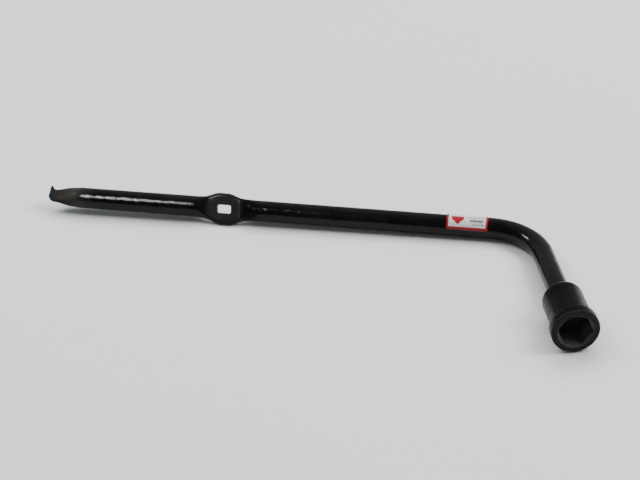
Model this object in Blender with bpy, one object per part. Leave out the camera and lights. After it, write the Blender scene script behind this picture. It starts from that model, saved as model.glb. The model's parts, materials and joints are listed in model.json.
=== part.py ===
"""L-shaped lug wrench: a round bar with a pry tip and a pierced eye, bent, with a hex socket.

The tool lies as it rests on a flat surface: on the eye's lower edge, the bend and the rim of
the socket's collar.  +X runs along the bar towards the bend, the leg points towards -Y, and +Z
is up.  The origin is at the middle of the base of the bounding box.  Lengths are
in metres and angles in degrees, until they are turned into radians below.
"""

import math

import bpy
from mathutils import Matrix, Vector

# Bar
BAR_R = 0.0075
BAR_FACETS = 40
TIP_X = -0.3478            # middle of the tip's end, from the corner where the two axes meet
BEND_ANGLE = 75.0          # how far the leg turns away from the bar's line
BEND_R = 0.039             # centreline radius
LEG_LENGTH = 0.125         # from the corner to the socket's mouth
BLADE_ROLL = 13.0          # the blade is turned this far about the bar
EYE_ROLL_FACETS = 4        # the eye is turned further, by this many of the bar's facets

# Eye
EYE_X = -0.2205
EYE_DROP = 0.0004          # the eye's middle lies this far off the bar's axis
EYE_LEAN = 0.10            # slope of the eye along the bar: it isn't pressed quite square
EYE_HALF_W = 0.0113
EYE_HALF_T = 0.0027
EYE_REACH = 0.0145         # half the length of the rounded outline
EYE_FLAT = 0.0108          # half the length of the flat
EYE_SHOULDER = 0.0105      # length of each run-out from the flat to the round bar
EYE_SPREAD = 0.0006        # the bar grows wider by this where it is pressed flat
EYE_HOLE_LENGTH = 0.0098
EYE_HOLE_WIDTH = 0.0061
EYE_HOLE_CORNER = 0.0013
EYE_HOLE_DROP = 0.0007     # the hole's middle lies this far off the axis
EYE_HOLE_CHAMFER = 0.0005

# Pry tip
BLADE_LENGTH = 0.0270      # along the blade, from the end to the full round bar
LIP_ANGLE = 78.0           # the end of the blade turns up by this much
LIP_R = 0.0022
LIP_STRAIGHT = 0.0036
END_HALF_W = 0.0053
END_HALF_T = 0.0007
EDGE_BREAK = 0.0003

# Socket, measured back from its mouth
HEX_AF = 0.0210
HEX_DEPTH = 0.0220
HEX_TURN = 52.0            # turn of the hexagon about the leg
LEAD_IN_R = 0.0127
LEAD_IN_DEPTH = 0.0021
SOCKET_LENGTH = 0.0425
BODY_R = 0.0141
COLLAR_R = 0.0165
COLLAR_LENGTH = 0.0075
COLLAR_RUNOUT = 0.0030
MOUTH_CHAMFER = 0.0016
BACK_R = 0.0099            # radius of the flat at the socket's back
BACK_ROUND = 0.0058        # length of the rounded shoulder
BORE_DEPTH = 0.0120
SOCKET_FACETS = 60

# Joint between bar and socket
GAP = 0.0003
WELD_LENGTH = 0.0052
WELD_RISE = 0.0020

# Label
LABEL_X = -0.0467
LABEL_LENGTH = 0.0292
LABEL_LIFT = 0.00015
LABEL_THICKNESS = 0.00015
LABEL_FROM = 0.0           # from the blade's roll upwards, over the top and down the far side
LABEL_TO = 153.0
LABEL_CORNER = 0.0016

EYE_ROLL = BLADE_ROLL + EYE_ROLL_FACETS * 360.0 / BAR_FACETS


def smooth(t):
    """Ease from 0 to 1 with level ends."""
    t = min(1.0, max(0.0, t))
    return t * t * (3.0 - 2.0 * t)


def mesh_object(name, verts, faces, material, parent=None):
    """Make an object from points and faces, with its faces pointing out."""
    mesh = bpy.data.meshes.new(name)
    mesh.from_pydata([tuple(v) for v in verts], [], faces)
    mesh.validate()
    mesh.shade_smooth()
    mesh.set_sharp_from_angle(angle=math.radians(32.0))
    if material is not None:
        mesh.materials.append(material)
    obj = bpy.data.objects.new(name, mesh)
    bpy.context.scene.collection.objects.link(obj)
    obj.parent = parent
    return obj


def loft(rings):
    """Join rings of equal length into one closed tube, capped at both ends."""
    count = len(rings[0])
    verts = [v for ring in rings for v in ring]
    faces = [tuple(range(count))[::-1]]
    for i in range(len(rings) - 1):
        for j in range(count):
            k = (j + 1) % count
            faces.append((i * count + j, i * count + k, (i + 1) * count + k, (i + 1) * count + j))
    last = (len(rings) - 1) * count
    faces.append(tuple(range(last, last + count)))
    return verts, faces


def revolve(profile, facets):
    """Turn a closed loop of (radius, height) points about Z; radius 0 makes a pole."""
    verts = []
    rows = []
    for radius, height in profile:
        if radius == 0.0:
            rows.append([len(verts)] * facets)
            verts.append((0.0, 0.0, height))
            continue
        rows.append(list(range(len(verts), len(verts) + facets)))
        for j in range(facets):
            turn = 2.0 * math.pi * j / facets
            verts.append((radius * math.cos(turn), radius * math.sin(turn), height))
    closed = profile[0][0] != 0.0
    pairs = list(zip(rows, rows[1:])) + ([(rows[-1], rows[0])] if closed else [])
    faces = []
    for low, high in pairs:
        for j in range(facets):
            k = (j + 1) % facets
            corners = []
            for v in (low[j], low[k], high[k], high[j]):
                if v not in corners:
                    corners.append(v)
            faces.append(tuple(corners))
    return verts, faces


def cutter(name, verts, faces, target, matrix):
    """Cut a shape out of the target."""
    obj = mesh_object(name, verts, faces, None, target.parent)
    obj.matrix_local = matrix
    obj.hide_render = True
    obj.display_type = "WIRE"
    cut = target.modifiers.new(name, "BOOLEAN")
    cut.operation = "DIFFERENCE"
    cut.solver = "EXACT"
    cut.object = obj
    return obj


def paint(name, color, roughness, metallic):
    """A Principled material."""
    material = bpy.data.materials.new(name)
    material.use_nodes = True
    shader = material.node_tree.nodes["Principled BSDF"]
    shader.inputs["Base Color"].default_value = (*color, 1.0)
    shader.inputs["Roughness"].default_value = roughness
    shader.inputs["Metallic"].default_value = metallic
    return material


def section(center, wide, thick, half_w, half_t, flat):
    """One cross-section, from an ellipse (flat 0) to a flat bar with round edges (flat 1)."""
    half_flat = math.radians(67.5)
    points = []
    for j in range(BAR_FACETS):
        turn = 2.0 * math.pi * j / BAR_FACETS
        c, s = math.cos(turn), math.sin(turn)
        x, y = half_w * c, half_t * s
        if abs(s) > math.sin(half_flat):
            fx = (half_w - half_t) * c / math.cos(half_flat)
            fy = math.copysign(half_t, s)
        else:
            edge = math.asin(s) / half_flat * math.pi / 2.0
            fx = math.copysign(half_w - half_t + half_t * math.cos(edge), c)
            fy = half_t * math.sin(edge)
        x += (fx - x) * flat
        y += (fy - y) * flat
        points.append(center + wide * x + thick * y)
    return points


def rolled(degrees):
    """Directions across and through a flat that is turned about the bar."""
    roll = math.radians(degrees)
    wide = Vector((0.0, math.cos(roll), math.sin(roll)))
    thick = Vector((0.0, -math.sin(roll), math.cos(roll)))
    return wide, thick


def leg_frame():
    """Direction of the leg: turned in plan, and raised until the collar rests on z = 0."""
    reach = LEG_LENGTH - COLLAR_LENGTH
    rise = math.atan2(COLLAR_R, reach) - math.asin(BAR_R / math.hypot(reach, COLLAR_R))
    turn = math.radians(BEND_ANGLE)
    side = Vector((math.sin(turn), math.cos(turn), 0.0))
    along = Vector((math.cos(turn), -math.sin(turn), 0.0)) * math.cos(rise)
    along.z = math.sin(rise)
    up = along.cross(side)
    return along, side, up


def resting_turn(leg, up):
    """Turn that sets the tool down on the eye's lower edge, the bend and the socket's collar."""
    wide, _ = rolled(EYE_ROLL)
    lean = Vector((EYE_LEAN, 0.0, 0.0))
    eye = Vector((EYE_X, 0.0, -EYE_HALF_T)) - wide * EYE_DROP
    eye -= (wide - lean) * (EYE_HALF_W - EYE_HALF_T)
    bend = Vector((-0.5 * BEND_R, 0.0, -BAR_R))
    collar = leg * (LEG_LENGTH - COLLAR_LENGTH) - up * COLLAR_R
    normal = (collar - eye).cross(bend - eye)
    return normal.rotation_difference(Vector((0.0, 0.0, 1.0)))


def blade_sections(wide, thick):
    """Sections of the pry tip, from its turned-up end to the round bar."""
    lip_arc = LIP_R * math.radians(LIP_ANGLE)
    lip_length = LIP_STRAIGHT + lip_arc
    lip = math.radians(LIP_ANGLE)
    run = LIP_STRAIGHT * math.cos(lip) + LIP_R * math.sin(lip)
    start_x = TIP_X + run + END_HALF_T * math.sin(lip)
    rings = []
    steps = [0.0, 0.0003, 0.0009, 0.0019, LIP_STRAIGHT]
    steps += [LIP_STRAIGHT + lip_arc * k / 6 for k in range(1, 7)]
    steps += [lip_length + (BLADE_LENGTH - lip_length) * k / 12 for k in range(1, 13)]
    for s in steps:
        bend = lip * min(1.0, (lip_length - s) / lip_arc) if s < lip_length else 0.0
        back = max(0.0, LIP_STRAIGHT - s)
        x = start_x - LIP_R * math.sin(bend) - back * math.cos(lip) + max(0.0, s - lip_length)
        z = LIP_R * (1.0 - math.cos(bend)) + back * math.sin(lip)
        edge = (1.0 - min(1.0, s / 0.0009)) ** 2
        width = END_HALF_W + (BAR_R - END_HALF_W) * smooth((s - 0.0040) / 0.0155)
        width -= EDGE_BREAK * edge
        depth = END_HALF_T + 0.0008 * smooth(s / 0.006)
        depth += (BAR_R - END_HALF_T - 0.0008) * smooth((s - 0.007) / (BLADE_LENGTH - 0.007))
        depth -= EDGE_BREAK * edge
        flat = 1.0 - smooth((s - 0.012) / (BLADE_LENGTH - 0.012))
        across = thick * math.cos(bend) + Vector((1.0, 0.0, 0.0)) * math.sin(bend)
        center = Vector((x, 0.0, 0.0)) + thick * z
        rings.append(section(center, wide, across, width, depth, flat))
    return rings, start_x + BLADE_LENGTH - lip_length


def eye_sections(wide, thick):
    """Sections through the flattened eye and its two shoulders."""
    reach = EYE_FLAT + EYE_SHOULDER
    offsets = [-reach + EYE_SHOULDER * k / 8 for k in range(9)]
    offsets += [-EYE_FLAT + 2.0 * EYE_FLAT * k / 12 for k in range(1, 12)]
    offsets += [EYE_FLAT + EYE_SHOULDER * k / 8 for k in range(9)]
    rings = []
    for off in offsets:
        out = abs(off)
        disc = EYE_HALF_W * math.sqrt(max(0.0, 1.0 - (out / EYE_REACH) ** 2))
        ease = smooth((out - EYE_FLAT) / EYE_SHOULDER)
        pressed = BAR_R + EYE_SPREAD * (1.0 - ease)
        width = 0.5 * (disc + pressed + math.hypot(disc - pressed, 0.0022 * (1.0 - ease)))
        width = min(max(width, pressed), EYE_HALF_W)
        depth = EYE_HALF_T + (BAR_R - EYE_HALF_T) * ease
        center = Vector((EYE_X + off, 0.0, 0.0)) - wide * EYE_DROP * (1.0 - ease)
        leaning = wide - Vector((EYE_LEAN * (1.0 - ease), 0.0, 0.0))
        rings.append(section(center, leaning, thick, width, depth, 1.0 - ease))
    return rings


def bar_sections(first_x, last_x, wide, thick, spacing=0.020):
    """Round sections between two points of the straight bar, without its two ends."""
    count = max(2, round((last_x - first_x) / spacing))
    xs = [first_x + (last_x - first_x) * k / count for k in range(1, count)]
    return [section(Vector((x, 0.0, 0.0)), wide, thick, BAR_R, BAR_R, 0.0) for x in xs]


def bend_sections(wide, thick, leg, steps=18):
    """Round sections through the bend and down the leg, into the socket's bore."""
    bar = Vector((1.0, 0.0, 0.0))
    axis = bar.cross(leg).normalized()
    total = bar.angle(leg)
    tangent = BEND_R * math.tan(total / 2.0)
    start = bar * -tangent
    inward = axis.cross(bar)
    centre = start + inward * BEND_R
    rings = []
    for k in range(steps + 1):
        turn = Matrix.Rotation(total * k / steps, 3, axis)
        point = centre + turn @ (start - centre)
        rings.append(section(point, turn @ wide, turn @ thick, BAR_R, BAR_R, 0.0))
    turn = Matrix.Rotation(total, 3, axis)
    end = LEG_LENGTH - SOCKET_LENGTH + BORE_DEPTH - 3.0 * GAP
    for reach, radius in ((0.055, BAR_R), (end - 0.0012, BAR_R), (end, BAR_R - 0.0012)):
        rings.append(section(leg * reach, turn @ wide, turn @ thick, radius, radius, 0.0))
    return rings, -tangent


def rounded_slot(half_length, half_width, corner, height):
    """Outline of a rectangle with rounded corners, at one height."""
    points = []
    for quarter in range(4):
        for k in range(6):
            turn = math.radians(90.0 * quarter + 90.0 * k / 5)
            mid = math.radians(90.0 * quarter + 45.0)
            cx = math.copysign(half_length - corner, math.cos(mid))
            cy = math.copysign(half_width - corner, math.sin(mid))
            points.append((cx + corner * math.cos(turn), cy + corner * math.sin(turn), height))
    return points


def build_shank(parent, leg, material):
    """The one-piece bar: pry tip, eye with its hole, bend and leg."""
    rings, blade_end = blade_sections(*rolled(BLADE_ROLL))
    rings = [ring[EYE_ROLL_FACETS:] + ring[:EYE_ROLL_FACETS] for ring in rings]
    wide, thick = rolled(EYE_ROLL)
    reach = EYE_FLAT + EYE_SHOULDER
    rings += bar_sections(blade_end, EYE_X - reach, wide, thick)
    rings += eye_sections(wide, thick)
    bent, bend_start = bend_sections(wide, thick, leg)
    rings += bar_sections(EYE_X + reach, bend_start, wide, thick)
    rings += bent
    shank = mesh_object("shank", *loft(rings), material, parent)

    wider = EYE_HOLE_CHAMFER + 0.0010
    levels = ((-EYE_HALF_T - 0.0010, wider), (-EYE_HALF_T + EYE_HOLE_CHAMFER, 0.0))
    levels += ((EYE_HALF_T - EYE_HOLE_CHAMFER, 0.0), (EYE_HALF_T + 0.0010, wider))
    long, high = EYE_HOLE_LENGTH / 2.0, EYE_HOLE_WIDTH / 2.0
    hole = [rounded_slot(long + w, high + w, EYE_HOLE_CORNER + w, z) for z, w in levels]
    bar = Vector((1.0, 0.0, 0.0))
    matrix = Matrix((bar, wide - bar * EYE_LEAN, thick)).transposed().to_4x4()
    matrix.translation = Vector((EYE_X, 0.0, 0.0)) - wide * EYE_HOLE_DROP
    cutter("eye_hole_cutter", *loft(hole), shank, matrix)
    return shank


def build_socket(parent, matrix, material):
    """The hex socket, built about Z with its mouth at z = 0 and its back at negative z."""
    back = -SOCKET_LENGTH
    bore = BAR_R + GAP
    profile = [(0.0, back + BORE_DEPTH), (bore, back + BORE_DEPTH), (bore, back)]
    for k in range(7):
        turn = math.radians(15.0 * k)
        radius = BACK_R + (BODY_R - BACK_R) * math.sin(turn)
        profile.append((radius, back + BACK_ROUND * (1.0 - math.cos(turn))))
    run_start = -COLLAR_LENGTH - COLLAR_RUNOUT
    for k in range(6):
        t = k / 5
        profile.append((BODY_R + (COLLAR_R - BODY_R) * smooth(t), run_start + COLLAR_RUNOUT * t))
    for k in range(5):
        turn = math.radians(22.5 * k)
        inset = MOUTH_CHAMFER * (1.0 - math.cos(turn))
        profile.append((COLLAR_R - inset, -MOUTH_CHAMFER * (1.0 - math.sin(turn))))
    profile.append((0.0, 0.0))
    socket = mesh_object("socket", *revolve(profile, SOCKET_FACETS), material, parent)
    socket.matrix_local = matrix

    corner = HEX_AF / math.sqrt(3.0)
    rings = []
    for height in (-HEX_DEPTH, 0.002):
        turns = [math.radians(HEX_TURN + 60.0 * k) for k in range(6)]
        rings.append([(corner * math.cos(t), corner * math.sin(t), height) for t in turns])
    cutter("hex_cutter", *loft(rings), socket, matrix)
    slope = (LEAD_IN_R - HEX_AF / 2.0) / LEAD_IN_DEPTH
    rings = []
    for height in (-LEAD_IN_DEPTH, 0.002):
        radius = HEX_AF / 2.0 + slope * (height + LEAD_IN_DEPTH)
        turns = [2.0 * math.pi * k / SOCKET_FACETS for k in range(SOCKET_FACETS)]
        rings.append([(radius * math.cos(t), radius * math.sin(t), height) for t in turns])
    cutter("lead_in_cutter", *loft(rings), socket, matrix)
    return socket


def build_weld(parent, matrix, material):
    """The fillet weld that runs round the bar where it enters the socket's back."""
    inner = BAR_R + GAP
    front = -SOCKET_LENGTH - GAP
    profile = [(inner, front), (inner, front - WELD_LENGTH)]
    for k in range(1, 8):
        turn = math.radians(90.0 * k / 8)
        radius = inner + WELD_RISE * math.sin(turn)
        profile.append((radius, front - WELD_LENGTH * math.cos(turn)))
    profile.append((inner + WELD_RISE, front))
    verts, faces = revolve(profile, BAR_FACETS)
    weld = mesh_object("weld_bead", verts, faces, material, parent)
    weld.matrix_local = matrix
    return weld


def build_label(parent, material):
    """A thin label wrapped over the bar, next to the bend."""
    facet = 2.0 * math.pi / BAR_FACETS
    roll = math.radians(BLADE_ROLL)
    first = round(math.radians(LABEL_FROM) / facet)
    last = round(math.radians(LABEL_TO) / facet)
    inner = BAR_R + LABEL_LIFT
    outer = inner + LABEL_THICKNESS
    rings = []
    for step in range(first, last + 1):
        turn = roll + step * facet
        from_edge = min(step - first, last - step) * facet * inner
        inset = max(0.0, LABEL_CORNER - from_edge)
        cut = LABEL_CORNER - math.sqrt(LABEL_CORNER ** 2 - inset ** 2)
        half = LABEL_LENGTH / 2.0 - cut
        out = Vector((0.0, -math.cos(turn), math.sin(turn)))
        ring = []
        for x, radius in ((-half, inner), (half, inner), (half, outer), (-half, outer)):
            ring.append(Vector((LABEL_X + x, 0.0, 0.0)) + out * radius)
        rings.append(ring)
    verts, faces = loft(rings)
    return mesh_object("label", verts, [face[::-1] for face in faces], material, parent)


def main():
    """Build the wrench and set it down with its box's base centred on the origin."""
    for obj in list(bpy.data.objects):
        bpy.data.objects.remove(obj, do_unlink=True)
    root = bpy.data.objects.new("lug_wrench", None)
    bpy.context.scene.collection.objects.link(root)

    leg, side, up = leg_frame()
    mouth = Matrix((side, up, leg)).transposed().to_4x4()
    mouth.translation = leg * LEG_LENGTH
    black = paint("black_paint", (0.012, 0.013, 0.013), 0.30, 0.0)
    socket_black = paint("socket_paint", (0.016, 0.017, 0.016), 0.42, 0.0)
    weld_black = paint("weld_paint", (0.020, 0.021, 0.020), 0.40, 0.0)
    sticker = paint("label_film", (0.80, 0.80, 0.78), 0.40, 0.0)

    pieces = [
        build_shank(root, leg, black),
        build_socket(root, mouth, socket_black),
        build_weld(root, mouth, weld_black),
        build_label(root, sticker),
    ]
    root.rotation_mode = "QUATERNION"
    root.rotation_quaternion = resting_turn(leg, up)
    bpy.context.view_layer.update()
    points = [o.matrix_world @ v.co for o in pieces for v in o.data.vertices]
    low = Vector([min(p[k] for p in points) for k in range(3)])
    high = Vector([max(p[k] for p in points) for k in range(3)])
    root.location = (-(low.x + high.x) / 2.0, -(low.y + high.y) / 2.0, -low.z)
    bpy.context.view_layer.update()


main()
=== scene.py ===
"""Looks of the L-shaped lug wrench: lumpy black enamel on a bent bar, and a small label.

Lengths are in metres and angles in degrees, until they are turned into radians below.  The
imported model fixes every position: its mounts give the leg's direction, the corner where the two
axes meet, and the turn of the eye and the blade.
"""

import json
import math

import bpy
from mathutils import Euler, Matrix, Vector, noise


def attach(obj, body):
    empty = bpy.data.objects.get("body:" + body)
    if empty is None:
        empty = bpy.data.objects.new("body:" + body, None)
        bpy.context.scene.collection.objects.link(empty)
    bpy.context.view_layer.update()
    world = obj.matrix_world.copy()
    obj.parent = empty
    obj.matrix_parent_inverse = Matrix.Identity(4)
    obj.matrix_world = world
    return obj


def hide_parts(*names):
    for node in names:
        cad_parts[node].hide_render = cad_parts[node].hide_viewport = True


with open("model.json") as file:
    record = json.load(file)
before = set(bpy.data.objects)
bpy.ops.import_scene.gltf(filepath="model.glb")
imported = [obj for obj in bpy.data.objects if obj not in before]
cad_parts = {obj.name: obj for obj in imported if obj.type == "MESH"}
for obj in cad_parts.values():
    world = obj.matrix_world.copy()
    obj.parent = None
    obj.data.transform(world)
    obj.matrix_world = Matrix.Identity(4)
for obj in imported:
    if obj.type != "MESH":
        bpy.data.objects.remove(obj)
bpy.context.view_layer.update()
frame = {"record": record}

# The bar, as in the CAD model
BAR_R = 0.0075
TIP_X = -0.3478            # middle of the tip's end, from the corner where the two axes meet
BEND_ANGLE = 75.0          # how far the leg turns away from the bar's line
BEND_R = 0.039             # centreline radius
LEG_LENGTH = 0.125         # from the corner to the socket's mouth
BLADE_ROLL = 13.0          # turn of the blade about the bar
EYE_ROLL = 49.0            # turn of the eye about the bar
BAR_END_CHAMFER = 0.0012   # on the end that stands in the socket's bore

# The eye, as in the CAD model
EYE_X = -0.2205
EYE_DROP = 0.0004          # the eye's middle lies this far off the bar's axis
EYE_LEAN = 0.10            # slope of the eye along the bar: it isn't pressed quite square
EYE_HALF_W = 0.0113
EYE_HALF_T = 0.0027
EYE_REACH = 0.0145         # half the length of the rounded outline
EYE_FLAT = 0.0108          # half the length of the flat
EYE_SHOULDER = 0.0105      # length of each run-out from the flat to the round bar
EYE_SPREAD = 0.0006        # the bar grows wider by this where it is pressed flat
EYE_BLEND = 0.0022         # softens the corner between the rounded outline and the bar
EYE_HOLE_LENGTH = 0.0098
EYE_HOLE_WIDTH = 0.0061
EYE_HOLE_CORNER = 0.0013
EYE_HOLE_DROP = 0.0007     # the hole's middle lies this far off the axis

# The pry tip, as in the CAD model, measured along the blade from its end
BLADE_LENGTH = 0.0270      # to the full round bar
LIP_ANGLE = 78.0           # the end of the blade turns up by this much
LIP_R = 0.0022
LIP_STRAIGHT = 0.0036
END_HALF_W = 0.0053
END_HALF_T = 0.0007
EDGE_BREAK = 0.0003        # the end is thinner and narrower by this at its very edge
EDGE_BREAK_LENGTH = 0.0009
WIDEN_FROM = 0.0040        # from the end's width to the bar's
WIDEN_LENGTH = 0.0155
SWELL = 0.0008             # the lip's first growth in thickness
SWELL_LENGTH = 0.006
THICKEN_FROM = 0.007       # then up to the bar's thickness
ROUND_FROM = 0.012         # from a flat section to a round one

# The socket, as in the CAD model, measured back from its mouth
HEX_AF = 0.0210
HEX_DEPTH = 0.0220
HEX_TURN = 52.0            # turn of the hexagon about the leg
HEX_MOUNT_DEPTH = 0.0100   # where the mounts on its flats are
LEAD_IN_R = 0.0127
LEAD_IN_DEPTH = 0.0021
SOCKET_LENGTH = 0.0425
BODY_R = 0.0141
COLLAR_R = 0.0165
COLLAR_LENGTH = 0.0075
COLLAR_RUNOUT = 0.0030
MOUTH_CHAMFER = 0.0016
BACK_R = 0.0099            # radius of the flat at the socket's back
BACK_ROUND = 0.0058        # length of the rounded shoulder
BORE_DEPTH = 0.0120
GAP = 0.0003               # between the bar and the bore
WELD_LENGTH = 0.0052
WELD_RISE = 0.0020

# The label, as in the CAD model
LABEL_X = -0.0467
LABEL_LENGTH = 0.0292
LABEL_LIFT = 0.00015
LABEL_THICKNESS = 0.00015
LABEL_SPAN = 153.0         # how far it reaches round the bar
LABEL_CORNER = 0.0016

# The label's print, measured from its lower left corner
BORDER_SIDE = 0.0015       # width of the border at the left and right
BORDER_EDGE = 0.0024       # and along the two long edges
BORDER_SHADE_FADE = (0.0003, 0.0014)  # painted shade: the border's red is darker along the lower edge and fades out over this
PRINTED_MARK = (0.0035, 0.0123, 0.0040, 0.0108)  # left, right, low and high
PRINTED_BARS = (           # left, right, middle, half the thickness, and greyness
    (0.0180, 0.0261, 0.0045, 0.0004, 0.16),
    (0.0160, 0.0258, 0.0072, 0.0010, 0.09),
    (0.0152, 0.0206, 0.0100, 0.0006, 0.24),
    (0.0206, 0.0266, 0.0104, 0.0006, 0.30),
)

# Fineness of the visual meshes
BAR_FACETS = 120           # a multiple of 10, so that the eye's turn past the blade is whole facets
SOCKET_FACETS = 240
RING_STEP = 0.0011
FINE_STEP = 0.0005

# Unevenness and small roundings, finer than in the CAD model
LUMP_DEPTH = 0.00007       # the bar's forged surface
LUMP_SIZE = 0.006
LUMP_FADE = 0.004          # over which the lumps grow in from the blade's end
SOCKET_LUMP_DEPTH = 0.00004
SOCKET_LUMP_SIZE = 0.005
HOLE_ROUND = 0.0003        # rims of the eye's hole
HEX_CORNER_CUT = 0.00018   # how much the hexagon's corners are cut back
HEX_CORNER_SOFT = 0.00012
HEX_FLOOR_ROUND = 0.00018
LEAD_IN_SOFT = 0.00015     # softens the edge between the lead-in and the flats
LEAD_IN_LIP = 0.00025
WELD_RIPPLES = 17
WELD_RIPPLE_DEPTH = 0.10   # part of the weld's size
WELD_SWELL = (0.0003, 0.0002)     # the ripples' crests stand this far past its rise and length
WELD_SUNK = (0.00015, 0.00012)    # into the bar and into the socket's back

# Wear of the bar's enamel, and a painted reflection at the tip: each kind fades out between two
# distances
PRESSED_FADE = (0.0105, 0.0155)   # greyer, from the eye's middle
SMOOTH_FADE = (0.0120, 0.0230)    # free of lumps and specks, from the eye's middle
RUBBED_FADE = (0.0105, 0.0125)    # dull, from a point just below the eye's middle
RUBBED_OFF = 0.002                # how far below it
SHOULDER_FADE = (0.0055, 0.0105)  # dull, from a point on the eye's shoulder by the bend's side
SHOULDER_OFF = 0.0180             # how far it is from the eye's middle
WORN_FADE = (0.014, 0.036)        # brownish, from the tip
SCRAPED_FADE = (0.010, 0.026)     # rough and without gloss, from the tip
STEEL_AND_REFLECTION_FADE = (0.0015, 0.0050)     # nearly bare steel with a painted bluish reflection, from the tip

# Camera, in the wrench's own frame
CAMERA_OFFSET = (-0.00672, -1.14369, 0.83835)
CAMERA_PITCH = 36.73
CAMERA_YAW = 7.22
CAMERA_LENS = 112.5

# Broad lights over the wrench, which the gloss doesn't show: place, size and power
BROAD_LIGHTS = {
    "right_softbox": ((1.95, 0.25, 2.15), (1.5, 1.5), 72.0),
    "left_softbox": ((-1.65, 0.30, 2.25), (1.5, 1.5), 50.0),
    "back_softbox": ((0.15, 1.65, 2.30), (2.4, 0.9), 56.0),
    "front_softbox": ((0.10, -1.60, 1.70), (1.6, 1.6), 3.0),
}

# The room is dim in front and pale behind: its brightness follows the line of sight's Y
ROOM_SIGHT_Y = (-0.3, 0.75)
ROOM_BRIGHTNESS = (0.11, 0.58)

BAR = Vector((1.0, 0.0, 0.0))


def smooth(t):
    """Ease from 0 to 1 with level ends."""
    t = min(1.0, max(0.0, t))
    return t * t * (3.0 - 2.0 * t)


def spread(first, last, step):
    """Evenly spaced values from first to last, without the first."""
    count = max(1, round((last - first) / step))
    return [first + (last - first) * k / count for k in range(1, count + 1)]


# The wrench's own frame: the bar along X, with the origin at the corner where the axes meet

def rolled(degrees):
    """Directions across and through a flat that is turned about the bar."""
    roll = math.radians(degrees)
    wide = Vector((0.0, math.cos(roll), math.sin(roll)))
    thick = Vector((0.0, -math.sin(roll), math.cos(roll)))
    return wide, thick


def leg_frame():
    """Direction of the leg, and two directions across it."""
    reach = LEG_LENGTH - COLLAR_LENGTH
    rise = math.atan2(COLLAR_R, reach) - math.asin(BAR_R / math.hypot(reach, COLLAR_R))
    turn = math.radians(BEND_ANGLE)
    side = Vector((math.sin(turn), math.cos(turn), 0.0))
    along = Vector((math.cos(turn), -math.sin(turn), 0.0)) * math.cos(rise)
    along.z = math.sin(rise)
    return along, side, along.cross(side)


LEG, SIDE, UP = leg_frame()
MOUTH = LEG * LEG_LENGTH
EYE_WIDE, EYE_THICK = rolled(EYE_ROLL)


def wrench_placement():
    """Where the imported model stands: the frame that its mounts' places and axes give."""
    mounts = {mount["name"]: mount for mount in frame["record"]["mounts"]}
    hex_a, hex_b = (Vector(mounts[name]["pos_m"]) for name in ("hex_flat_a", "hex_flat_b"))
    leg = Vector(mounts["mouth_face"]["axis"])
    eye = Vector(mounts["eye_face"]["axis"])
    packed = Matrix((leg, eye, leg.cross(eye))).transposed()
    own = Matrix((LEG, EYE_THICK, LEG.cross(EYE_THICK))).transposed()
    turn = (packed @ own.inverted()).to_quaternion().to_matrix()
    place = turn.to_4x4()
    place.translation = (hex_a + hex_b) / 2.0 - turn @ (MOUTH - LEG * HEX_MOUNT_DEPTH)
    return place


PLACEMENT = wrench_placement()


# Meshes

def mesh_object(name, verts, faces, sharp=35.0, placed=True):
    """Make an object from points in the wrench's frame, smooth except across sharp edges."""
    mesh = bpy.data.meshes.new(name)
    mesh.from_pydata([tuple(v) for v in verts], [], faces)
    mesh.validate()
    mesh.shade_smooth()
    mesh.set_sharp_from_angle(angle=math.radians(sharp))
    if placed:
        mesh.transform(PLACEMENT)
    obj = bpy.data.objects.new(name, mesh)
    bpy.context.scene.collection.objects.link(obj)
    return obj


def tube_faces(rows, count):
    """Faces between rows of points, each a closed ring."""
    faces = []
    for i in range(rows - 1):
        near, far = i * count, (i + 1) * count
        for j in range(count):
            k = (j + 1) % count
            faces.append((near + j, near + k, far + k, far + j))
    return faces


def loft(rings):
    """Join rings of equal length into one closed tube, capped at both ends."""
    count = len(rings[0])
    verts = [v for ring in rings for v in ring]
    faces = [tuple(range(count))[::-1]] + tube_faces(len(rings), count)
    last = (len(rings) - 1) * count
    faces.append(tuple(range(last, last + count)))
    return verts, faces


def apply_modifiers(obj):
    """Replace the object's mesh with its evaluated one."""
    graph = bpy.context.evaluated_depsgraph_get()
    mesh = bpy.data.meshes.new_from_object(obj.evaluated_get(graph))
    obj.modifiers.clear()
    obj.data = mesh


def lump(point, size):
    """How far the forged surface lies under its nominal shape, from 0 to 1."""
    coarse = noise.noise(point / size)
    fine = noise.noise(point / (0.4 * size) + Vector((7.0, 3.0, 5.0)))
    return min(1.0, max(0.0, 0.5 + 0.6 * coarse + 0.3 * fine))


def section(center, wide, thick, half_w, half_t, flat, lumps=1.0):
    """One cross-section, from an ellipse (flat 0) to a flat bar with round edges (flat 1)."""
    half_flat = math.radians(67.5)  # past this turn the outline is on the flat
    points = []
    for j in range(BAR_FACETS):
        turn = 2.0 * math.pi * j / BAR_FACETS
        c, s = math.cos(turn), math.sin(turn)
        x, y = half_w * c, half_t * s
        if abs(s) > math.sin(half_flat):
            fx = (half_w - half_t) * c / math.cos(half_flat)
            fy = math.copysign(half_t, s)
        else:
            edge = math.asin(s) / half_flat * math.pi / 2.0
            fx = math.copysign(half_w - half_t + half_t * math.cos(edge), c)
            fy = half_t * math.sin(edge)
        x += (fx - x) * flat
        y += (fy - y) * flat
        out = wide * x + thick * y
        depth = LUMP_DEPTH * lumps * lump(center + out, LUMP_SIZE)
        points.append(center + out - out.normalized() * depth)
    return points


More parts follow.
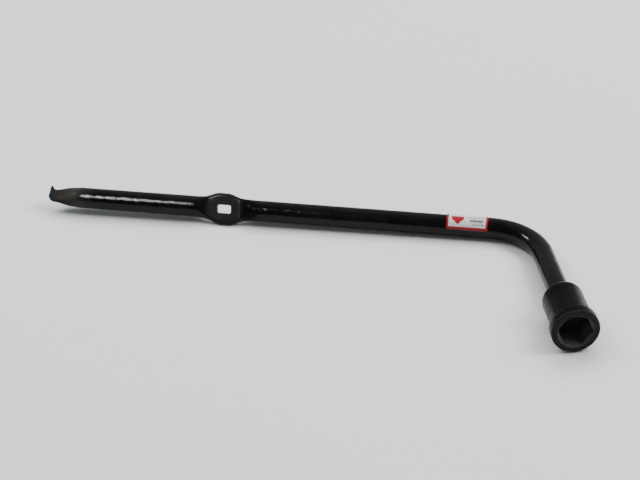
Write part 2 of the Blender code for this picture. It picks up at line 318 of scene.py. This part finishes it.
def blade_sections():
    """Sections of the pry tip, from its turned-up end to the round bar."""
    lip = math.radians(LIP_ANGLE)
    lip_arc = LIP_R * lip
    lip_length = LIP_STRAIGHT + lip_arc
    run = LIP_STRAIGHT * math.cos(lip) + LIP_R * math.sin(lip)
    start_x = TIP_X + run + END_HALF_T * math.sin(lip)
    steps = [0.0, 0.00008, 0.00018, 0.00032, 0.0005, EDGE_BREAK_LENGTH]
    steps += spread(EDGE_BREAK_LENGTH, LIP_STRAIGHT, 0.0004)
    steps += spread(LIP_STRAIGHT, lip_length, 0.00025)
    steps += spread(lip_length, BLADE_LENGTH, FINE_STEP)
    wide, thick = rolled(BLADE_ROLL)
    rings = []
    for s in steps:
        bend = lip * min(1.0, (lip_length - s) / lip_arc) if s < lip_length else 0.0
        back = max(0.0, LIP_STRAIGHT - s)
        x = start_x - LIP_R * math.sin(bend) - back * math.cos(lip) + max(0.0, s - lip_length)
        z = LIP_R * (1.0 - math.cos(bend)) + back * math.sin(lip)
        edge = (1.0 - min(1.0, s / EDGE_BREAK_LENGTH)) ** 2
        width = END_HALF_W + (BAR_R - END_HALF_W) * smooth((s - WIDEN_FROM) / WIDEN_LENGTH)
        width -= EDGE_BREAK * edge
        thicker = smooth((s - THICKEN_FROM) / (BLADE_LENGTH - THICKEN_FROM))
        depth = END_HALF_T + SWELL * smooth(s / SWELL_LENGTH)
        depth += (BAR_R - END_HALF_T - SWELL) * thicker
        depth -= EDGE_BREAK * edge
        flat = 1.0 - smooth((s - ROUND_FROM) / (BLADE_LENGTH - ROUND_FROM))
        across = thick * math.cos(bend) + BAR * math.sin(bend)
        center = Vector((x, 0.0, 0.0)) + thick * z
        rings.append(section(center, wide, across, width, depth, flat, smooth(s / LUMP_FADE)))
    return rings, start_x + BLADE_LENGTH - lip_length


def eye_sections():
    """Sections through the flattened eye and its two shoulders."""
    reach = EYE_FLAT + EYE_SHOULDER
    rings = []
    for off in [-reach] + spread(-reach, reach, FINE_STEP):
        out = abs(off)
        disc = EYE_HALF_W * math.sqrt(max(0.0, 1.0 - (out / EYE_REACH) ** 2))
        ease = smooth((out - EYE_FLAT) / EYE_SHOULDER)
        pressed = BAR_R + EYE_SPREAD * (1.0 - ease)
        width = 0.5 * (disc + pressed + math.hypot(disc - pressed, EYE_BLEND * (1.0 - ease)))
        width = min(max(width, pressed), EYE_HALF_W)
        depth = EYE_HALF_T + (BAR_R - EYE_HALF_T) * ease
        center = Vector((EYE_X + off, 0.0, 0.0)) - EYE_WIDE * EYE_DROP * (1.0 - ease)
        leaning = EYE_WIDE - BAR * EYE_LEAN * (1.0 - ease)
        rings.append(section(center, leaning, EYE_THICK, width, depth, 1.0 - ease))
    return rings


def bar_sections(first_x, last_x):
    """Round sections between two points of the straight bar, without its two ends."""
    xs = spread(first_x, last_x, RING_STEP)[:-1]
    return [section(BAR * x, EYE_WIDE, EYE_THICK, BAR_R, BAR_R, 0.0) for x in xs]


def bend_sections():
    """Round sections through the bend and down the leg, into the socket's bore."""
    axis = BAR.cross(LEG).normalized()
    total = BAR.angle(LEG)
    tangent = BEND_R * math.tan(total / 2.0)
    start = BAR * -tangent
    centre = start + axis.cross(BAR) * BEND_R
    rings = []
    for turn_by in [0.0] + spread(0.0, total, RING_STEP / BEND_R):
        turn = Matrix.Rotation(turn_by, 3, axis)
        point = centre + turn @ (start - centre)
        rings.append(section(point, turn @ EYE_WIDE, turn @ EYE_THICK, BAR_R, BAR_R, 0.0))
    turn = Matrix.Rotation(total, 3, axis)
    end = LEG_LENGTH - SOCKET_LENGTH + BORE_DEPTH - 3.0 * GAP
    ends = [(reach, BAR_R) for reach in spread(tangent, end - BAR_END_CHAMFER, RING_STEP)]
    for reach, radius in ends + [(end, BAR_R - BAR_END_CHAMFER)]:
        rings.append(section(LEG * reach, turn @ EYE_WIDE, turn @ EYE_THICK, radius, radius, 0.0))
    return rings, -tangent


def rounded_slot(half_length, half_width, corner, height):
    """Outline of a rectangle with rounded corners, at one height."""
    points = []
    for quarter in range(4):
        for k in range(9):
            turn = math.radians(90.0 * quarter + 90.0 * k / 8)
            mid = math.radians(90.0 * quarter + 45.0)
            x = math.copysign(half_length - corner, math.cos(mid)) + corner * math.cos(turn)
            y = math.copysign(half_width - corner, math.sin(mid)) + corner * math.sin(turn)
            points.append(Vector((x, y, height)))
    return points


def cut_eye_hole(shank):
    """Cut the hole through the eye, with rounded rims."""
    long, high = EYE_HOLE_LENGTH / 2.0, EYE_HOLE_WIDTH / 2.0
    top = EYE_HALF_T - 0.00002  # the rim's curve ends just under the flat
    levels = []
    for k in range(7):
        turn = math.radians(15.0 * k)
        level = top - HOLE_ROUND + HOLE_ROUND * math.sin(turn)
        levels.append((level, HOLE_ROUND * (1.0 - math.cos(turn))))
    levels.append((top + 0.0008, HOLE_ROUND + 0.0006))  # and the cutter flares out above it
    levels = [(-z, w) for z, w in reversed(levels)] + levels
    rings = [rounded_slot(long + w, high + w, EYE_HOLE_CORNER + w, z) for z, w in levels]
    across = EYE_WIDE - BAR * EYE_LEAN
    middle = BAR * EYE_X - EYE_WIDE * EYE_HOLE_DROP
    rings = [[middle + BAR * p.x + across * p.y + EYE_THICK * p.z for p in ring] for ring in rings]
    cutter = mesh_object("eye_hole_cutter", *loft(rings))
    cut = shank.modifiers.new("eye_hole", "BOOLEAN")
    cut.operation = "DIFFERENCE"
    cut.solver = "EXACT"
    cut.object = cutter
    bpy.context.view_layer.update()
    apply_modifiers(shank)
    bpy.data.objects.remove(cutter, do_unlink=True)


def build_shank():
    """The bar in one piece: blade, eye, bend and leg."""
    rings, blade_end = blade_sections()
    shift = round((EYE_ROLL - BLADE_ROLL) * BAR_FACETS / 360.0)
    rings = [ring[shift:] + ring[:shift] for ring in rings]
    reach = EYE_FLAT + EYE_SHOULDER
    rings += bar_sections(blade_end, EYE_X - reach)
    rings += eye_sections()
    bent, bend_start = bend_sections()
    rings += bar_sections(EYE_X + reach, bend_start)
    rings += bent
    shank = mesh_object("shank_enamel", *loft(rings))
    cut_eye_hole(shank)
    shank.data.shade_smooth()
    shank.data.set_sharp_from_angle(angle=math.radians(40.0))
    return shank


def hex_radius(turn):
    """Distance from the axis to the hexagon's wall, with slightly rounded corners."""
    across = (math.degrees(turn) - HEX_TURN + 30.0) % 60.0 - 30.0
    wall = HEX_AF / 2.0 / math.cos(math.radians(30.0 - abs(across)))
    limit = HEX_AF / math.sqrt(3.0) - HEX_CORNER_CUT
    over = wall - limit
    return wall - 0.5 * (over + math.hypot(over, HEX_CORNER_SOFT))


def socket_rings():
    """Rows of points from the hex's floor, out round the mouth and back, to the bore's floor.

    Each is a radius, a height and whether it is hexed.  A hexed row's radius is a part of the
    distance to the hexagon's wall.
    """
    slope = (LEAD_IN_R - HEX_AF / 2.0) / LEAD_IN_DEPTH
    rows = []

    def at(radius, height, hexed=False):
        """Add one row."""
        rows.append((radius, height, hexed))

    for part in (0.25, 0.6, 0.9, 0.985):
        at(part, -HEX_DEPTH, True)
    at(1.0, -HEX_DEPTH + HEX_FLOOR_ROUND, True)
    deep_end = -LEAD_IN_DEPTH - 0.0001
    for height in spread(-HEX_DEPTH + 0.0002, deep_end, 0.0010):
        at(1.0, height, True)
    lip = LEAD_IN_LIP
    for height in spread(deep_end, -lip, 0.00012):
        at(HEX_AF / 2.0 + slope * (height + LEAD_IN_DEPTH), height)
    for k in range(1, 5):
        turn = math.radians(90.0 * k / 4)
        radius = LEAD_IN_R - slope * lip + lip * 1.3 * (1.0 - math.cos(turn))
        at(radius, -lip + lip * math.sin(turn))
    for radius in spread(LEAD_IN_R + 0.00015, COLLAR_R - MOUTH_CHAMFER, 0.0005):
        at(radius, 0.0)
    for k in range(1, 9):
        turn = math.radians(90.0 * k / 8)
        radius = COLLAR_R - MOUTH_CHAMFER * (1.0 - math.sin(turn))
        at(radius, -MOUTH_CHAMFER * (1.0 - math.cos(turn)))
    for height in spread(-MOUTH_CHAMFER, -COLLAR_LENGTH, 0.0008):
        at(COLLAR_R, height)
    run_start = -COLLAR_LENGTH - COLLAR_RUNOUT
    for t in spread(0.0, 1.0, 0.1):
        at(COLLAR_R - (COLLAR_R - BODY_R) * smooth(t), -COLLAR_LENGTH - COLLAR_RUNOUT * t)
    back = -SOCKET_LENGTH
    for height in spread(run_start, back + BACK_ROUND, 0.0012):
        at(BODY_R, height)
    for k in range(1, 17):
        turn = math.radians(90.0 * k / 16)
        at(BACK_R + (BODY_R - BACK_R) * math.cos(turn), back + BACK_ROUND * (1.0 - math.sin(turn)))
    bore = BAR_R + GAP
    at(bore + 0.0008, back)
    at(bore, back + 0.0002)
    at(bore, back + BORE_DEPTH)
    return rows


def build_socket():
    """The hex socket as one closed turned body with a hexagonal opening."""
    verts = []
    rows = socket_rings()
    for radius, height, hexed in rows:
        for j in range(SOCKET_FACETS):
            turn = 2.0 * math.pi * j / SOCKET_FACETS
            wall = hex_radius(turn)
            if hexed:
                reach = wall * radius
            elif height > -LEAD_IN_DEPTH - 0.0002 and radius < LEAD_IN_R:
                over = radius - wall
                reach = 0.5 * (radius + wall + math.hypot(over, LEAD_IN_SOFT))
            else:
                reach = radius
            out = SIDE * math.cos(turn) + UP * math.sin(turn)
            point = MOUTH + out * reach + LEG * height
            if radius > 1.02 * LEAD_IN_R or height < -HEX_DEPTH:
                point -= out * (SOCKET_LUMP_DEPTH * lump(point, SOCKET_LUMP_SIZE))
            verts.append(point)
    count = SOCKET_FACETS
    faces = tube_faces(len(rows), count)
    first_pole = len(verts)
    verts.append(MOUTH - LEG * HEX_DEPTH)
    last_pole = len(verts)
    verts.append(MOUTH + LEG * (BORE_DEPTH - SOCKET_LENGTH))
    last = (len(rows) - 1) * count
    for j in range(count):
        k = (j + 1) % count
        faces.append((first_pole, k, j))
        faces.append((last_pole, last + j, last + k))
    return mesh_object("socket_enamel", verts, faces)


def build_weld():
    """The fillet weld round the neck, a ring of overlapping ripples."""
    facets = 192
    rows = 14
    inner = BAR_R - WELD_SUNK[0]
    front = -SOCKET_LENGTH + WELD_SUNK[1]
    crest_rise = WELD_RISE + WELD_SWELL[0]
    crest_length = WELD_LENGTH + WELD_SWELL[1]
    verts = []
    for j in range(facets):
        turn = 2.0 * math.pi * j / facets
        out = SIDE * math.cos(turn) + UP * math.sin(turn)
        phase = WELD_RIPPLES * turn + 0.9 * math.sin(3.0 * turn)
        for k in range(rows):
            across = math.radians(90.0 * k / (rows - 1))
            wave = abs(math.sin(0.5 * phase + 0.55 * math.cos(across)))
            height = 1.0 - WELD_RIPPLE_DEPTH * (1.0 - wave) ** 1.5
            rise = crest_rise * math.sin(across) * height
            length = crest_length * math.cos(across) * height
            verts.append(MOUTH + out * (inner + rise) + LEG * (front - length))
        verts.append(MOUTH + out * inner + LEG * front)
    stride = rows + 1
    faces = []
    for j in range(facets):
        here = j * stride
        there = ((j + 1) % facets) * stride
        for k in range(stride):
            m = (k + 1) % stride
            faces.append((here + k, there + k, there + m, here + m))
    return mesh_object("weld_ripples", verts, faces, 50.0)


def build_label():
    """The thin film wrapped over the bar, with UVs in metres along and around it."""
    columns = 48
    rows = 72
    inner = BAR_R + LABEL_LIFT
    arc = math.radians(LABEL_SPAN) * inner
    roll = math.radians(BLADE_ROLL)
    verts = []
    flat = []
    for r in range(rows + 1):
        along_arc = arc * r / rows
        inset = max(0.0, LABEL_CORNER - min(along_arc, arc - along_arc))
        cut = LABEL_CORNER - math.sqrt(LABEL_CORNER ** 2 - inset ** 2)
        half = LABEL_LENGTH / 2.0 - cut
        turn = roll + along_arc / inner
        out = Vector((0.0, -math.cos(turn), math.sin(turn)))
        for side_radius in (inner, inner + LABEL_THICKNESS):
            for c in range(columns + 1):
                x = half * (2.0 * c / columns - 1.0)
                verts.append(BAR * (LABEL_X + x) + out * side_radius)
                flat.append((x + LABEL_LENGTH / 2.0, along_arc))
    width = columns + 1
    stride = 2 * width
    faces = []
    for r in range(rows):
        low, high = r * stride, (r + 1) * stride
        for c in range(columns):
            faces.append((low + c, high + c, high + c + 1, low + c + 1))
            top_low, top_high = low + width + c, high + width + c
            faces.append((top_low, top_low + 1, top_high + 1, top_high))
        faces.append((low, low + width, high + width, high))
        low, high = low + columns, high + columns
        faces.append((low, high, high + width, low + width))
    top = rows * stride
    for c in range(columns):
        faces.append((c, c + 1, width + c + 1, width + c))
        faces.append((top + c, top + width + c, top + width + c + 1, top + c + 1))
    label = mesh_object("label_print", verts, faces, 50.0)
    layer = label.data.uv_layers.new(name="print")
    for loop in label.data.loops:
        layer.data[loop.index].uv = flat[loop.vertex_index]
    return label


# Materials

class Nodes:
    """Short-hand for building one material's node tree."""

    def __init__(self, name):
        self.material = bpy.data.materials.new(name)
        self.material.use_nodes = True
        self.tree = self.material.node_tree
        self.shader = self.tree.nodes["Principled BSDF"]

    def add(self, kind, inputs=None, **settings):
        """Add a node; inputs are values or other nodes' outputs."""
        node = self.tree.nodes.new(kind)
        for key, value in settings.items():
            setattr(node, key, value)
        for key, value in (inputs or {}).items():
            self.put(node.inputs[key], value)
        return node

    def put(self, socket, value):
        """Set a socket, or link an output to it."""
        if isinstance(value, bpy.types.NodeSocket):
            self.tree.links.new(value, socket)
        else:
            socket.default_value = value

    def math(self, operation, a, b=0.0):
        """A Math node's result."""
        return self.add("ShaderNodeMath", {0: a, 1: b}, operation=operation).outputs[0]

    def ease(self, value, low, high, to_low=0.0, to_high=1.0):
        """Map a value smoothly from one range to another."""
        inputs = {"Value": value, "From Min": low, "From Max": high}
        inputs.update({"To Min": to_low, "To Max": to_high})
        node = self.add("ShaderNodeMapRange", inputs, interpolation_type="SMOOTHSTEP")
        return node.outputs[0]

    def noise(self, scale, detail, roughness, where=None):
        """Noise in the object's own coordinates."""
        inputs = {"Vector": where or self.place()}
        inputs.update({"Scale": scale, "Detail": detail, "Roughness": roughness})
        return self.add("ShaderNodeTexNoise", inputs).outputs[0]

    def place(self):
        """The object's own coordinates, in metres."""
        return self.add("ShaderNodeTexCoord").outputs["Object"]

    def along(self, origin, axis):
        """How far the surface lies beyond a point, along an axis."""
        ends = {0: self.place(), 1: tuple(origin)}
        away = self.add("ShaderNodeVectorMath", ends, operation="SUBTRACT").outputs[0]
        pair = {0: away, 1: tuple(axis)}
        return self.add("ShaderNodeVectorMath", pair, operation="DOT_PRODUCT").outputs["Value"]

    def hypot(self, a, b):
        """Length of two distances at right angles."""
        squares = self.math("ADD", self.math("MULTIPLY", a, a), self.math("MULTIPLY", b, b))
        return self.math("SQRT", squares)

    def mix(self, factor, a, b):
        """Mix two colours."""
        node = self.add("ShaderNodeMix", data_type="RGBA")
        self.put(node.inputs["Factor"], factor)
        self.put(node.inputs[6], a)
        self.put(node.inputs[7], b)
        return node.outputs[2]

    def bump(self, height, distance, normal=None):
        """Bump of a given height in metres."""
        node = self.add("ShaderNodeBump", {"Height": height, "Distance": distance, "Strength": 1.0})
        if normal is not None:
            self.put(node.inputs["Normal"], normal)
        return node.outputs[0]

    def set(self, **inputs):
        """Set or link the shader's sockets."""
        for key, value in inputs.items():
            self.put(self.shader.inputs[key.replace("_", " ")], value)


def color(r, g, b):
    """An opaque colour, in linear values."""
    return (r, g, b, 1.0)


def enamel(n, blacks, roughness, lumps, shine, relief=1.0):
    """Brushed-on black enamel: uneven gloss, orange peel and a few specks of dust under it.

    The blacks and the roughness are each a pair that the paint wanders between.  The relief, from
    0 to 1, levels the bumps where the paint is smooth.
    """
    blotch = n.noise(scale=70.0, detail=4.0, roughness=0.6)
    streaks = n.noise(scale=420.0, detail=3.0, roughness=0.6)
    tint = n.mix(n.ease(blotch, 0.35, 0.7), *blacks)
    gloss = n.math("ADD", n.math("MULTIPLY", blotch, 0.6), n.math("MULTIPLY", streaks, 0.4))
    rough = n.ease(gloss, 0.35, 0.65, *roughness)
    wave = n.noise(scale=230.0, detail=1.0, roughness=0.4)
    peel = n.noise(scale=900.0, detail=2.0, roughness=0.5)
    cells = n.add("ShaderNodeTexVoronoi", {"Vector": n.place(), "Scale": 330.0})
    specks = n.ease(cells.outputs["Distance"], 0.06, 0.16, 1.0, 0.0)
    normal = None
    for height, distance in ((wave, lumps), (peel, 0.00003), (specks, 0.00005)):
        normal = n.bump(n.math("MULTIPLY", height, relief), distance, normal)
    n.set(Base_Color=tint, Roughness=rough, Normal=normal)
    n.shader.inputs["Specular IOR Level"].default_value = shine
    return tint, rough


def paint_shank():
    """Gloss enamel, dull on the pressed eye, scraped to a brownish grey on the blade."""
    n = Nodes("black_enamel")
    x = n.add("ShaderNodeSeparateXYZ", {0: n.place()}).outputs[0]
    tip = (PLACEMENT @ (BAR * TIP_X)).x
    eye = PLACEMENT @ (BAR * EYE_X)
    beside = n.along(eye, PLACEMENT.to_3x3() @ BAR)
    across = n.along(eye, PLACEMENT.to_3x3() @ EYE_WIDE)
    off_eye = n.hypot(beside, across)
    off_rub = n.hypot(beside, n.math("ADD", across, RUBBED_OFF))
    off_shoulder = n.hypot(n.math("SUBTRACT", beside, SHOULDER_OFF), across)

    def near_tip(fade):
        """1 at the tip, fading out between two distances from it."""
        return n.ease(x, tip + fade[0], tip + fade[1], 1.0, 0.0)

    blacks = color(0.0030, 0.0034, 0.0034), color(0.0056, 0.0058, 0.0056)
    pressed_grey = color(0.0165, 0.0172, 0.0152)
    worn_brown = color(0.0275, 0.0255, 0.0228)
    # bare steel whose bluish tint is a painted reflection
    steel_and_reflection_blue = color(0.020, 0.025, 0.030)
    shine, dull_shine = 0.16, 0.02
    relief = n.ease(off_eye, *SMOOTH_FADE, 0.06, 1.0)
    tint, rough = enamel(n, blacks, (0.10, 0.20), 0.00020, shine, relief)
    patches = n.noise(scale=300.0, detail=4.0, roughness=0.65)
    patchy = n.ease(patches, 0.30, 0.60, 0.55, 1.0)
    scraped = n.math("MULTIPLY", near_tip(SCRAPED_FADE), patchy)
    tint = n.mix(n.ease(off_eye, *PRESSED_FADE, 1.0, 0.0), tint, pressed_grey)
    tint = n.mix(n.math("MULTIPLY", near_tip(WORN_FADE), patchy), tint, worn_brown)
    # bare steel at the very tip, its bluish tint a painted reflection
    tint = n.mix(near_tip(STEEL_AND_REFLECTION_FADE), tint, steel_and_reflection_blue)
    rough = n.math("ADD", rough, n.math("MULTIPLY", scraped, 0.45))
    rubbed = n.ease(off_rub, *RUBBED_FADE, 0.85, 0.0)
    shoulder = n.ease(off_shoulder, *SHOULDER_FADE, 0.90, 0.0)
    dull = n.math("MAXIMUM", scraped, n.math("MAXIMUM", rubbed, shoulder))
    shine = n.ease(dull, 0.0, 1.0, shine, dull_shine)
    n.set(Base_Color=tint, Roughness=rough, Specular_IOR_Level=shine)
    return n.material


def paint_socket():
    """Semi-gloss enamel, a little greyer on the mouth; inside it a paler grey is partly bare steel
    and partly painted fill light, lightest deep in the hex.
    """
    n = Nodes("socket_enamel")
    blacks = color(0.0022, 0.0024, 0.0023), color(0.0040, 0.0042, 0.0040)
    face_grey = color(0.0170, 0.0182, 0.0170)
    # inside the hex: a paler grey, partly bare steel and partly painted fill light
    inside_grey_and_fill = color(0.056, 0.060, 0.056)
    deep_grey_and_fill = color(0.085, 0.089, 0.085)
    tint, rough = enamel(n, blacks, (0.20, 0.32), 0.00014, 0.045)
    mouth = PLACEMENT @ MOUTH
    turn = PLACEMENT.to_3x3()
    depth = n.along(mouth, turn @ LEG)
    radius = n.hypot(n.along(mouth, turn @ SIDE), n.along(mouth, turn @ UP))
    face = n.ease(depth, -0.0022, -0.0010)
    inside = n.ease(radius, HEX_AF / 1.7, LEAD_IN_R, 1.0, 0.0)
    # painted fill light: the grey inside grows lighter towards the hex's floor, where the least
    # light reaches
    deep = n.ease(depth, -0.0110, -0.0020, 1.0, 0.0)
    tint = n.mix(face, tint, face_grey)
    tint = n.mix(inside, tint, n.mix(deep, inside_grey_and_fill, deep_grey_and_fill))
    n.set(Base_Color=tint, Roughness=rough)
    return n.material


def paint_weld():
    """Enamel over the weld's ripples."""
    n = Nodes("weld_enamel")
    enamel(n, (color(0.0080, 0.0085, 0.0080), color(0.0160, 0.0160, 0.0150)), (0.22, 0.36),
           0.00020, 0.14)
    return n.material


def off_middle(n, value, low, high):
    """Distance from the middle of a range."""
    return n.math("ABSOLUTE", n.math("SUBTRACT", value, (low + high) / 2.0))


def box_mask(n, u, v, left, right, low, high, soft=0.00012):
    """1 inside a box on the label, 0 outside."""
    across = n.math("SUBTRACT", (right - left) / 2.0, off_middle(n, u, left, right))
    around = n.math("SUBTRACT", (high - low) / 2.0, off_middle(n, v, low, high))
    return n.ease(n.math("MINIMUM", across, around), -soft, soft)


def mark_mask(n, u, v, left, right, low, high, soft=0.00015):
    """1 inside a plain mark, broad at the top and pointed at the bottom."""
    half = (right - left) / 2.0
    taper = 0.62 * (high - low)  # height of the pointed part
    aside = off_middle(n, u, left, right)
    reach = n.math("MULTIPLY", n.math("SUBTRACT", v, low), half / taper)
    inside = n.math("SUBTRACT", n.math("MINIMUM", reach, half), aside)
    return n.ease(n.math("MINIMUM", inside, n.math("SUBTRACT", high, v)), -soft, soft)


def paint_label():
    """White film with a red border, a plain red mark and grey bars that say nothing."""
    n = Nodes("label_film")
    arc = math.radians(LABEL_SPAN) * (BAR_R + LABEL_LIFT)
    uv = n.add("ShaderNodeUVMap", uv_map="print").outputs[0]
    split = n.add("ShaderNodeSeparateXYZ", {0: uv})
    u, v = split.outputs[0], split.outputs[1]
    # the darker red of the painted shade along the label's lower edge
    shaded_red = color(0.09, 0.002, 0.006)
    grime = n.noise(scale=500.0, detail=4.0, roughness=0.6)
    fade = n.ease(grime, 0.35, 0.75)
    tint = n.mix(fade, color(0.60, 0.61, 0.60), color(0.50, 0.51, 0.50))
    for left, right, middle, half, grey in PRINTED_BARS:
        line = n.add("ShaderNodeCombineXYZ", {0: u, 1: middle}).outputs[0]
        gaps = n.noise(scale=1100.0, detail=2.0, roughness=0.6, where=line)
        bar = box_mask(n, u, v, left, right, middle - half, middle + half, 0.0002)
        ink = n.math("MULTIPLY", bar, n.ease(gaps, 0.40, 0.50, 0.25, 1.0))
        tint = n.mix(ink, tint, color(grey, grey, grey * 1.1))
    red = n.mix(fade, color(0.33, 0.005, 0.014), color(0.25, 0.004, 0.011))
    tint = n.mix(mark_mask(n, u, v, *PRINTED_MARK), tint, red)
    field = box_mask(n, u, v, BORDER_SIDE, LABEL_LENGTH - BORDER_SIDE,
                     BORDER_EDGE, arc - BORDER_EDGE)
    # painted shade: the border turns darker red towards the label's lower edge
    border = n.mix(n.ease(v, *BORDER_SHADE_FADE), shaded_red, red)
    tint = n.mix(field, border, tint)
    ripple = n.bump(n.noise(scale=260.0, detail=3.0, roughness=0.5), 0.00005)
    n.set(Base_Color=tint, Roughness=n.ease(grime, 0.3, 0.7, 0.34, 0.50), Normal=ripple)
    return n.material


def paint_floor():
    """A pale matte sweep with a very faint mottle."""
    n = Nodes("floor_paper")
    mottle = n.ease(n.noise(scale=3.0, detail=3.0, roughness=0.5), 0.3, 0.7)
    tint = n.mix(mottle, color(0.745, 0.785, 0.752), color(0.757, 0.797, 0.765))
    grain = n.bump(n.noise(scale=900.0, detail=2.0, roughness=0.5), 0.00002)
    n.set(Base_Color=tint, Roughness=0.85, Normal=grain)
    n.shader.inputs["Specular IOR Level"].default_value = 0.2
    return n.material


# Surroundings

def build_floor():
    """The pale floor that the wrench lies on."""
    half = 9.0
    verts = [(-half, -half, 0.0), (half, -half, 0.0), (half, half, 0.0), (-half, half, 0.0)]
    floor = mesh_object("floor", verts, [(0, 1, 2, 3)], placed=False)
    floor.data.materials.append(paint_floor())


def softbox(name, where, aim, size, power, shape="RECTANGLE", slant=0.0):
    """A flat light that faces a point, turned in its own plane by the slant."""
    data = bpy.data.lights.new(name, "AREA")
    data.shape = shape
    data.size, data.size_y = size
    data.energy = power
    light = bpy.data.objects.new(name, data)
    bpy.context.scene.collection.objects.link(light)
    light.location = where
    facing = (Vector(where) - Vector(aim)).to_track_quat("Z", "Y").to_matrix()
    light.rotation_euler = (facing @ Matrix.Rotation(math.radians(slant), 3, "Z")).to_euler()
    return light


def build_lights():
    """Broad lights that the gloss doesn't show, and two that only it shows."""
    for name, (where, size, power) in BROAD_LIGHTS.items():
        softbox(name, where, (0.0, 0.0, 0.0), size, power).visible_glossy = False
    streak = softbox("streak_softbox", where=(-0.455, -0.68, 1.0), aim=(-0.605, 0.04, 0.0),
                     size=(0.32, 0.84), power=6.6, shape="ELLIPSE", slant=-27.0)
    streak.data.spread = math.radians(50.0)
    glint = softbox("side_softbox", where=(-1.15, 0.20, 0.75), aim=(0.14, 0.04, 0.0),
                    size=(0.22, 0.28), power=8.0)
    for light in (streak, glint):
        light.visible_diffuse = False


def build_room():
    """Surroundings that are dim in front of the wrench and pale behind it."""
    world = bpy.data.worlds.new("room")
    world.use_nodes = True
    bpy.context.scene.world = world
    tree = world.node_tree
    sight = tree.nodes.new("ShaderNodeTexCoord")
    split = tree.nodes.new("ShaderNodeSeparateXYZ")
    shade = tree.nodes.new("ShaderNodeMapRange")
    ends = zip(("From Min", "From Max", "To Min", "To Max"), ROOM_SIGHT_Y + ROOM_BRIGHTNESS)
    for key, value in ends:
        shade.inputs[key].default_value = value
    tree.links.new(sight.outputs["Generated"], split.inputs[0])
    tree.links.new(split.outputs[1], shade.inputs[0])
    background = tree.nodes["Background"]
    background.inputs[0].default_value = color(0.98, 1.0, 0.985)
    tree.links.new(shade.outputs[0], background.inputs[1])


def build_camera():
    """A long lens above and in front of the wrench."""
    data = bpy.data.cameras.new("camera")
    data.lens = CAMERA_LENS
    data.sensor_width = 36.0
    data.clip_start = 0.05
    data.clip_end = 40.0
    camera = bpy.data.objects.new("camera", data)
    bpy.context.scene.collection.objects.link(camera)
    turn = Euler((math.radians(90.0 - CAMERA_PITCH), 0.0, math.radians(CAMERA_YAW)))
    camera.matrix_world = PLACEMENT @ Matrix.Translation(CAMERA_OFFSET) @ turn.to_matrix().to_4x4()
    bpy.context.scene.camera = camera


def place(piece, node, slot, material):
    """Give a piece its material, and let it stand for its CAD node."""
    piece.data.materials.clear()
    piece.data.materials.append(material)
    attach(piece, "root")
    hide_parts(node)


place(build_shank(), "shank", "black_paint", paint_shank())
place(build_socket(), "socket", "socket_paint", paint_socket())
place(build_weld(), "weld_bead", "weld_paint", paint_weld())
place(build_label(), "label", "label_film", paint_label())
build_floor()
build_lights()
build_room()
build_camera()
